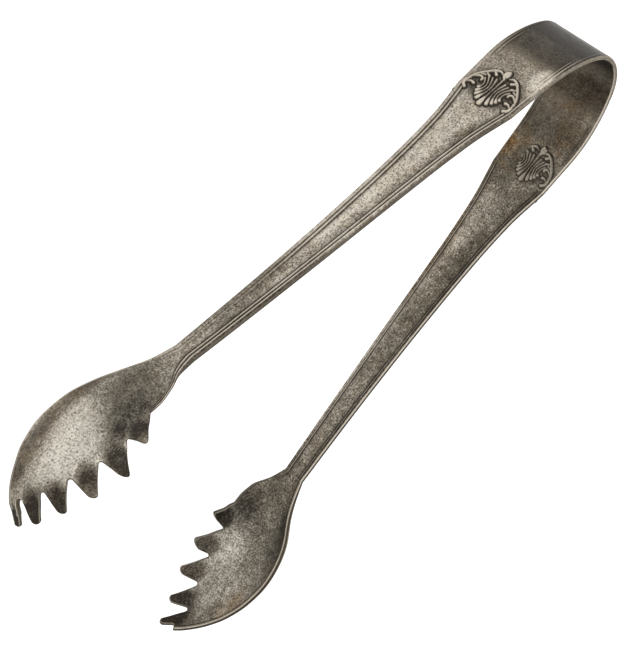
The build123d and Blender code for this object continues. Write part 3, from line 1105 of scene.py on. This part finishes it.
def claw_piece(name, half):
    """A claw in the right one's place: two faces and a rounded edge cut into teeth."""
    strip = bpy.context.scene.tongs_strip
    dish = bpy.context.scene.tongs_claw.tooth_dish
    half_sheet, rounded = strip.sheet / 2, strip.edge_round
    outline, threaded, second = claw_outline(half)
    count = len(outline)
    into = inward(outline)
    flat, faces, ring = claw_face(outline, into, threaded, rounded)
    distance, strength = edge_distance(flat, outline, threaded, second)
    distance[[new for new, old in zip(ring, outline[:, 0]) if old > AT_NECK]] = rounded
    depth = tooth_depth(flat, half)
    places, tones = [], []
    _, neck, _ = arc_ends()
    threads = distance / squeeze(flat)
    lower = flat[:, 1] < 0
    for outside in (True, False):
        side = 1 if outside else -1
        if not outside:
            strength = strength * (1 - smooth_step(flat[:, 0], 0, 6 * MM) * lower)
        relief = thread_relief(threads, *strength, outside)
        height = side * (half_sheet + relief) - dish * depth
        places.append(on_claw(flat[:, 0], flat[:, 1], height))
        worn, oxide = thread_tones(threads, *strength, outside, lower)
        film, gold, grit = tarnish_and_painted_light(neck + flat[:, 0], places[-1][:, 2], outside)
        # darker film and painted shade on the teeth
        film = film + TOOTH_FILM_AND_SHADE[outside] * depth
        film = film + strength[0] * border_shade(threads, outside, lower)
        tones.append((worn * strength[0], oxide, film, gold + TOOTH_GOLD * depth, grit))
    ring_dish = dish * tooth_depth(outline + into * rounded, half)
    total = 2 * len(flat)
    rings = [ring]
    sheet_rings = [(share, 1) for share in ROUND_STEPS[1:]]
    sheet_rings += [(share, -1) for share in ROUND_STEPS[:0:-1]]
    for share, face in sheet_rings:
        d = np.full(count, share * rounded)
        relief = thread_relief(d / squeeze(outline), threaded, second, face > 0)
        height = half_sheet - rounding(d, rounded) + relief
        spot = outline + into * d[:, None]
        places.append(on_claw(spot[:, 0], spot[:, 1], face * height - ring_dish))
        tones.append(claw_edge_tones(share, outline, threaded))
        rings.append([total + k for k in range(count)])
        total += count
    rings.append([len(flat) + i for i in ring])
    polygons = [tuple(face) for face in faces]
    polygons += [tuple(len(flat) + i for i in face[::-1]) for face in faces]
    for one, two in zip(rings, rings[1:]):
        for i in range(count):
            j = (i + 1) % count
            polygons.append((one[i], one[j], two[j], two[i]))
    mesh = bpy.data.meshes.new(name)
    mesh.from_pydata(np.vstack(places).tolist(), [], polygons)
    mesh.validate()
    piece = bpy.data.objects.new(name, mesh)
    bpy.context.scene.collection.objects.link(piece)
    set_tones(piece, *(np.concatenate(values) for values in zip(*tones)))
    close_and_smooth(piece)
    return piece


# ---- materials ---------------------------------------------------------------
MATH = "ShaderNodeMath"
RAMP = "ShaderNodeValToRGB"
# the plate's patterns: their scale in mm, detail and roughness
PATTERNS = {
    "clouds": (11.0, 3.0, 0.6),  # drifts of tarnish, about a finger's print wide
    "mottle": (1.7, 3.0, 0.65),  # blotches of worn and unworn plate
    "grain": (0.4, 2.0, 0.7),  # grain of the pitted surface
    "pits": (0.42, 2.0, 0.6),  # corrosion pits, under half a millimetre wide
    "gilding": (3.5, 3.0, 0.6),  # patches of golden tarnish
}
# how much each pattern moves the film's darkness; together they balance round zero
FILM_DRIFT = {"clouds": 0.5, "mottle": 0.7, "grain": 1.5}
FILM_BALANCE = -1.35
PIT_DEPTH = 0.07  # mm
DENT_DEPTH = 0.12  # mm


def grey(value):
    """A grey of that value, as a colour."""
    return (value, value, value, 1)


def node(holder, kind, links=(), stops=(), **settings):
    """Adds a node with its settings and links.

    Links are (input, source) pairs, where a source is a value, an output or a node, whose
    first output is meant. Stops are the (place, colour) pairs of a colour ramp."""
    made = holder.node_tree.nodes.new(kind)
    for name, value in settings.items():
        setattr(made, name, value)
    for place, source in links:
        if isinstance(source, bpy.types.Node):
            source = source.outputs[0]
        if isinstance(source, bpy.types.NodeSocket):
            holder.node_tree.links.new(source, made.inputs[place])
        else:
            made.inputs[place].default_value = source
    if stops:
        elements = made.color_ramp.elements
        while len(elements) < len(stops):
            elements.new(0.5)
        for element, (place, value) in zip(elements, stops):
            element.position = place
            element.color = value
    return made


def tarnished_silver_plate(name):
    """Old silver plate over brass, rolled and struck, never polished back.

    Fine pits hold dark oxide, a brown-grey film of tarnish with painted shade and reflections
    lies over the plate, thin tarnish turns golden, and ridges and edges stay bright from handling and
    from painted highlights."""
    colours = bpy.context.scene.tongs_silver
    material = bpy.data.materials.new(name)
    material.use_nodes = True
    material.node_tree.nodes.clear()
    place = node(material, "ShaderNodeTexCoord").outputs["Object"]
    tone = {}
    for key in TONES:
        tone[key] = node(material, "ShaderNodeAttribute", attribute_name=key).outputs["Fac"]
    pattern = {}
    for key, (millimetres, detail, rough) in PATTERNS.items():
        links = [("Vector", place), ("Scale", 1 / (millimetres * MM))]
        links += [("Detail", detail), ("Roughness", rough)]
        pattern[key] = node(material, "ShaderNodeTexNoise", links)
    mottle, grain, pits = pattern["mottle"], pattern["grain"], pattern["pits"]

    film = FILM_BALANCE
    for key, share in FILM_DRIFT.items():
        links = [(0, pattern[key]), (1, share), (2, film)]
        film = node(material, MATH, links, operation="MULTIPLY_ADD")
    links = [(0, tone["grit"]), (1, film), (2, tone["film"])]
    film = node(material, MATH, links, operation="MULTIPLY_ADD")
    plate = ((0.0, colours.bright), (0.22, colours.plate), (0.5, colours.dull), (0.95, colours.dark))
    base = node(material, RAMP, [(0, film)], [(start, tint[:]) for start, tint in plate])

    # how much of each layer shows: golden tarnish, oxide in the pits, oxide caught in the
    # recesses with painted shade beside the grooves, and bright plate where the ridges are rubbed and
    # highlights are painted
    golden = node(material, RAMP, [(0, pattern["gilding"])], [(0.35, grey(0.2)), (0.65, grey(1))])
    golden = node(material, MATH, [(0, tone["gold"]), (1, golden)], operation="MULTIPLY")
    pitted = node(material, MATH, [(0, pits), (1, -0.08)], operation="ADD")
    pitted = node(material, MATH, [(0, mottle), (1, 0.16), (2, pitted)], operation="MULTIPLY_ADD")
    depths = [(0.35, grey(0.8)), (0.4, grey(0.45)), (0.47, grey(0))]
    pitted = node(material, RAMP, [(0, pitted)], depths)
    pitted = node(material, MATH, [(0, pitted), (1, tone["grit"])], operation="MULTIPLY")
    caught = node(material, MATH, [(0, grain), (1, 0.8), (2, -0.4)], operation="MULTIPLY_ADD")
    caught = node(material, MATH, [(0, tone["oxide"]), (1, caught)], operation="SUBTRACT")
    caught = node(material, RAMP, [(0, caught)], [(0.05, grey(0)), (0.85, grey(0.9))])
    rubbed_and_highlight = node(material, MATH, [(0, grain), (1, 1.2), (2, 0.35)], operation="MULTIPLY_ADD")
    rubbed_and_highlight = node(material, MATH, [(0, tone["worn"]), (1, rubbed_and_highlight)], operation="MULTIPLY")
    rubbed_and_highlight = node(material, RAMP, [(0, rubbed_and_highlight)], [(0.15, grey(0)), (0.85, grey(0.85))])
    layers = (
        (golden, colours.golden, "MULTIPLY"),
        (pitted, colours.oxide, "MIX"),
        (caught, colours.oxide, "MIX"),
        (rubbed_and_highlight, colours.rubbed_and_highlight, "MIX"),
    )
    for share, tint, how in layers:
        links = [(0, share), (6, base), (7, tint[:])]
        base = node(material, "ShaderNodeMix", links, data_type="RGBA", blend_type=how).outputs[2]

    rough = node(material, MATH, [(0, grain), (1, 0.25), (2, 0.28)], operation="MULTIPLY_ADD")
    rough = node(material, MATH, [(0, caught), (1, 0.2), (2, rough)], operation="MULTIPLY_ADD")
    links = [("Height", pits), ("Strength", 0.5), ("Distance", PIT_DEPTH * MM)]
    dents = node(material, "ShaderNodeBump", links)
    links = [("Height", mottle), ("Strength", 0.5), ("Distance", DENT_DEPTH * MM), ("Normal", dents)]
    dents = node(material, "ShaderNodeBump", links)
    links = [("Base Color", base), ("Roughness", rough), ("Metallic", 0.9), ("Normal", dents)]
    shader = node(material, "ShaderNodeBsdfPrincipled", links)
    node(material, "ShaderNodeOutputMaterial", [("Surface", shader)])
    return material


def seen_ray(holder):
    """1 for rays that reach the camera directly, mirrored or through something."""
    path = node(holder, "ShaderNodeLightPath")
    seen = path.outputs["Is Camera Ray"]
    for way in ("Is Glossy Ray", "Is Transmission Ray"):
        seen = node(holder, MATH, [(0, seen), (1, path.outputs[way])], operation="MAXIMUM")
    return seen


def pale_paper():
    """Matt off-white paper, which shows no grain and keeps the tongs' soft shadow.

    A glow that only the camera and mirrored rays see lifts it to the photo's near-white."""
    material = bpy.data.materials.new("pale_paper")
    material.use_nodes = True
    material.node_tree.nodes.clear()
    paper = node(material, "ShaderNodeBsdfDiffuse", [("Color", srgb("E9E8E6"))])
    glow = node(material, "ShaderNodeEmission", [("Color", srgb("FFFFFF")), ("Strength", 0.75)])
    both = node(material, "ShaderNodeAddShader", [(0, paper), (1, glow)])
    seen = node(material, "ShaderNodeMixShader", [(0, seen_ray(material)), (1, paper), (2, both)])
    node(material, "ShaderNodeOutputMaterial", [("Surface", seen)])
    return material


def finish_piece(piece, side, nodes, material, blended=False):
    """Gives a piece its material, puts it under its side's body unless it is blended, when its place
    is only baked in, and hides the parts that it stands for.
    """
    piece.data.materials.clear()
    piece.data.materials.append(material)
    if blended:
        start, end = blend_points(side)
        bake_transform(piece)
    else:
        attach(piece, f"{side}_side")
    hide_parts(*nodes)


def blend_points(side):
    """Where the bow starts to bend and where it has turned with the arm."""
    way = 1 if side == "right" else -1
    joint = [j for j in frame["joints"] if j["name"] == f"{side}_flex"][0]
    bow_end, _, _ = arc_ends()
    end = on_strip(np.array([bow_end]), 0.0, 0.0)[0]
    return Vector(joint["pos_m"]), Vector((end[0], way * end[1], 0))


# ---- operators ---------------------------------------------------------------
BOW_RINGS = 90  # cross-sections from the crown to the arm
ARM_FINE = (18, 0.25)  # mm of the arm's start, with its corner and shell, and the step there
ARM_RINGS = 170  # cross-sections from there to the neck


class TONGS_OT_bow(bpy.types.Operator):
    """Bend the two halves of the spring bow"""

    bl_idname = "tongs.bow"
    bl_label = "Add bow"

    def execute(self, context):
        material = tarnished_silver_plate("tarnished_silver_plate_bow")
        bow_end, _, _ = arc_ends()
        stations = np.linspace(0, bow_end, BOW_RINGS)

        right = strip_piece("right_bow_half", stations)
        left = turned_copy(right, "left_bow_half")
        for side, piece in zip(SIDES, (right, left)):
            finish_piece(piece, side, ["spring_bow"], material, blended=True)
        return {"FINISHED"}


class TONGS_OT_arms(bpy.types.Operator):
    """Shape the two arms with their thread edges"""

    bl_idname = "tongs.arms"
    bl_label = "Add arms"

    def execute(self, context):
        material = tarnished_silver_plate("tarnished_silver_plate_arms")
        bow_end, neck, _ = arc_ends()
        stretch, step = ARM_FINE
        near = np.arange(bow_end, bow_end + stretch * MM, step * MM)
        far = np.linspace(near[-1] + 0.3 * MM, neck, ARM_RINGS)

        right = strip_piece("right_arm_strip", np.concatenate([near, far]))
        left = turned_copy(right, "left_arm_strip")
        for side, piece in zip(SIDES, (right, left)):
            finish_piece(piece, side, [f"{side}_arm"], material)
        return {"FINISHED"}


class TONGS_OT_shells(bpy.types.Operator):
    """Raise the shells at the shoulders"""

    bl_idname = "tongs.shells"
    bl_label = "Add shells"

    def execute(self, context):
        material = tarnished_silver_plate("tarnished_silver_plate_shells")
        for place in ("outer", "inner"):
            right = shell_piece(f"right_{place}_shell_relief", place == "outer")
            left = turned_copy(right, f"left_{place}_shell_relief")
            for side, piece in zip(SIDES, (right, left)):
                finish_piece(piece, side, [f"{side}_{place}_shell"], material)
        return {"FINISHED"}


class TONGS_OT_claws(bpy.types.Operator):
    """Cup the claws and cut their teeth"""

    bl_idname = "tongs.claws"
    bl_label = "Add claws"

    def execute(self, context):
        material = tarnished_silver_plate("tarnished_silver_plate_claws")
        for side in SIDES:
            piece = claw_piece(f"{side}_claw_bowl", side)
            if side == "left":
                piece.data.transform(Matrix.Rotation(np.pi, 4, "X"))
            finish_piece(piece, side, [f"{side}_claw"], material)
        return {"FINISHED"}


# the photograph's camera in the part's frame: where it stands, and the directions
# of the picture's right, of its bottom edge and of the view
CAMERA_PLACE = (0.05783, -0.36208, 0.2096)
PICTURE_RIGHT = (-0.6755, 0.3036, 0.6719)
PICTURE_DOWN = (0.7279, 0.4196, 0.5423)
VIEW_DIRECTION = (-0.1173, 0.8555, -0.5044)
FOCAL_PIXELS = 1870
SENSOR = 36  # mm
# where each lamp hangs and how wide it is, in metres; they all point at the tongs
LAMPS = {
    "key": ((-0.25, -0.45, 0.75), 1.4),
    "fill": ((0.75, -0.5, 0.35), 1.2),
    "rim": ((-0.6, 0.5, 0.45), 1.0),
}
LAMPS_AIM = (0.02, 0, 0)


class TONGS_OT_stage(bpy.types.Operator):
    """Set up the floor, the lamps and the camera"""

    bl_idname = "tongs.stage"
    bl_label = "Add stage"

    def execute(self, context):
        sizes = context.scene.tongs_stage
        context.scene.view_settings.view_transform = "Standard"
        self.add_floor(sizes.floor_width)
        self.add_world(context.scene, sizes.world_light)
        for name, (place, width) in LAMPS.items():
            self.add_lamp(name, Vector(place), width, getattr(sizes, f"{name}_power"))
        self.add_camera(context.scene)
        return {"FINISHED"}

    def add_floor(self, width):
        bpy.ops.object.select_all(action="DESELECT")
        bpy.ops.mesh.primitive_plane_add(size=width, location=(0, 0, cad_box[0].z))
        floor = bpy.context.object
        floor.name = "floor"
        floor.data.materials.append(pale_paper())

    def add_world(self, scene, strength):
        world = bpy.data.worlds.new("studio")
        world.use_nodes = True
        world.node_tree.nodes.clear()
        links = [("Color", srgb("D8D6D2")), ("Strength", strength)]
        room = node(world, "ShaderNodeBackground", links)
        white = node(world, "ShaderNodeBackground", [("Color", srgb("FFFFFF")), ("Strength", 1.0)])
        seen = node(world, "ShaderNodeMixShader", [(0, seen_ray(world)), (1, room), (2, white)])
        node(world, "ShaderNodeOutputWorld", [("Surface", seen)])
        scene.world = world

    def add_lamp(self, name, place, width, power):
        lamp = bpy.data.lights.new(name, "AREA")
        lamp.shape = "DISK"
        lamp.size = width
        lamp.energy = power
        piece = bpy.data.objects.new(name, lamp)
        piece.location = place
        piece.rotation_euler = (Vector(LAMPS_AIM) - place).to_track_quat("-Z", "Y").to_euler()
        bpy.context.scene.collection.objects.link(piece)

    def add_camera(self, scene):
        camera = bpy.data.objects.new("camera", bpy.data.cameras.new("camera"))
        camera.data.sensor_fit = "VERTICAL"
        camera.data.sensor_height = SENSOR
        camera.data.lens = FOCAL_PIXELS / PHOTO_HEIGHT * SENSOR
        camera.data.clip_start = 0.01
        axes = (PICTURE_RIGHT, PICTURE_DOWN, VIEW_DIRECTION)
        right, down, view = (Vector(axis).normalized() for axis in axes)
        turn = Matrix((right, -down, -view)).transposed().to_4x4()
        camera.matrix_world = Matrix.Translation(CAMERA_PLACE) @ turn
        scene.collection.objects.link(camera)
        scene.camera = camera


OPERATORS = (TONGS_OT_bow, TONGS_OT_arms, TONGS_OT_shells, TONGS_OT_claws, TONGS_OT_stage)


class TONGS_PT_panel(bpy.types.Panel):
    """The tongs' pieces and their sizes"""

    bl_idname = "TONGS_PT_panel"
    bl_label = "Claw tongs"
    bl_space_type = "VIEW_3D"
    bl_region_type = "UI"
    bl_category = "Tongs"

    def draw(self, context):
        for operator in OPERATORS:
            self.layout.operator(operator.bl_idname)
        for name, group in GROUPS.items():
            box = self.layout.box()
            box.label(text=group.__doc__)
            for field in group.__annotations__:
                box.prop(getattr(context.scene, name), field)


def register():
    for group in GROUPS.values():
        bpy.utils.register_class(group)
    for operator in OPERATORS:
        bpy.utils.register_class(operator)
    bpy.utils.register_class(TONGS_PT_panel)
    for name, group in GROUPS.items():
        setattr(bpy.types.Scene, name, PointerProperty(type=group))


def unregister():
    for name in GROUPS:
        delattr(bpy.types.Scene, name)
    bpy.utils.unregister_class(TONGS_PT_panel)
    for operator in reversed(OPERATORS):
        bpy.utils.unregister_class(operator)
    for group in reversed(GROUPS.values()):
        bpy.utils.unregister_class(group)


def main():
    register()
    bpy.ops.tongs.bow()
    bpy.ops.tongs.arms()
    bpy.ops.tongs.shells()
    bpy.ops.tongs.claws()
    bpy.ops.tongs.stage()


if __name__ == "__main__":
    main()
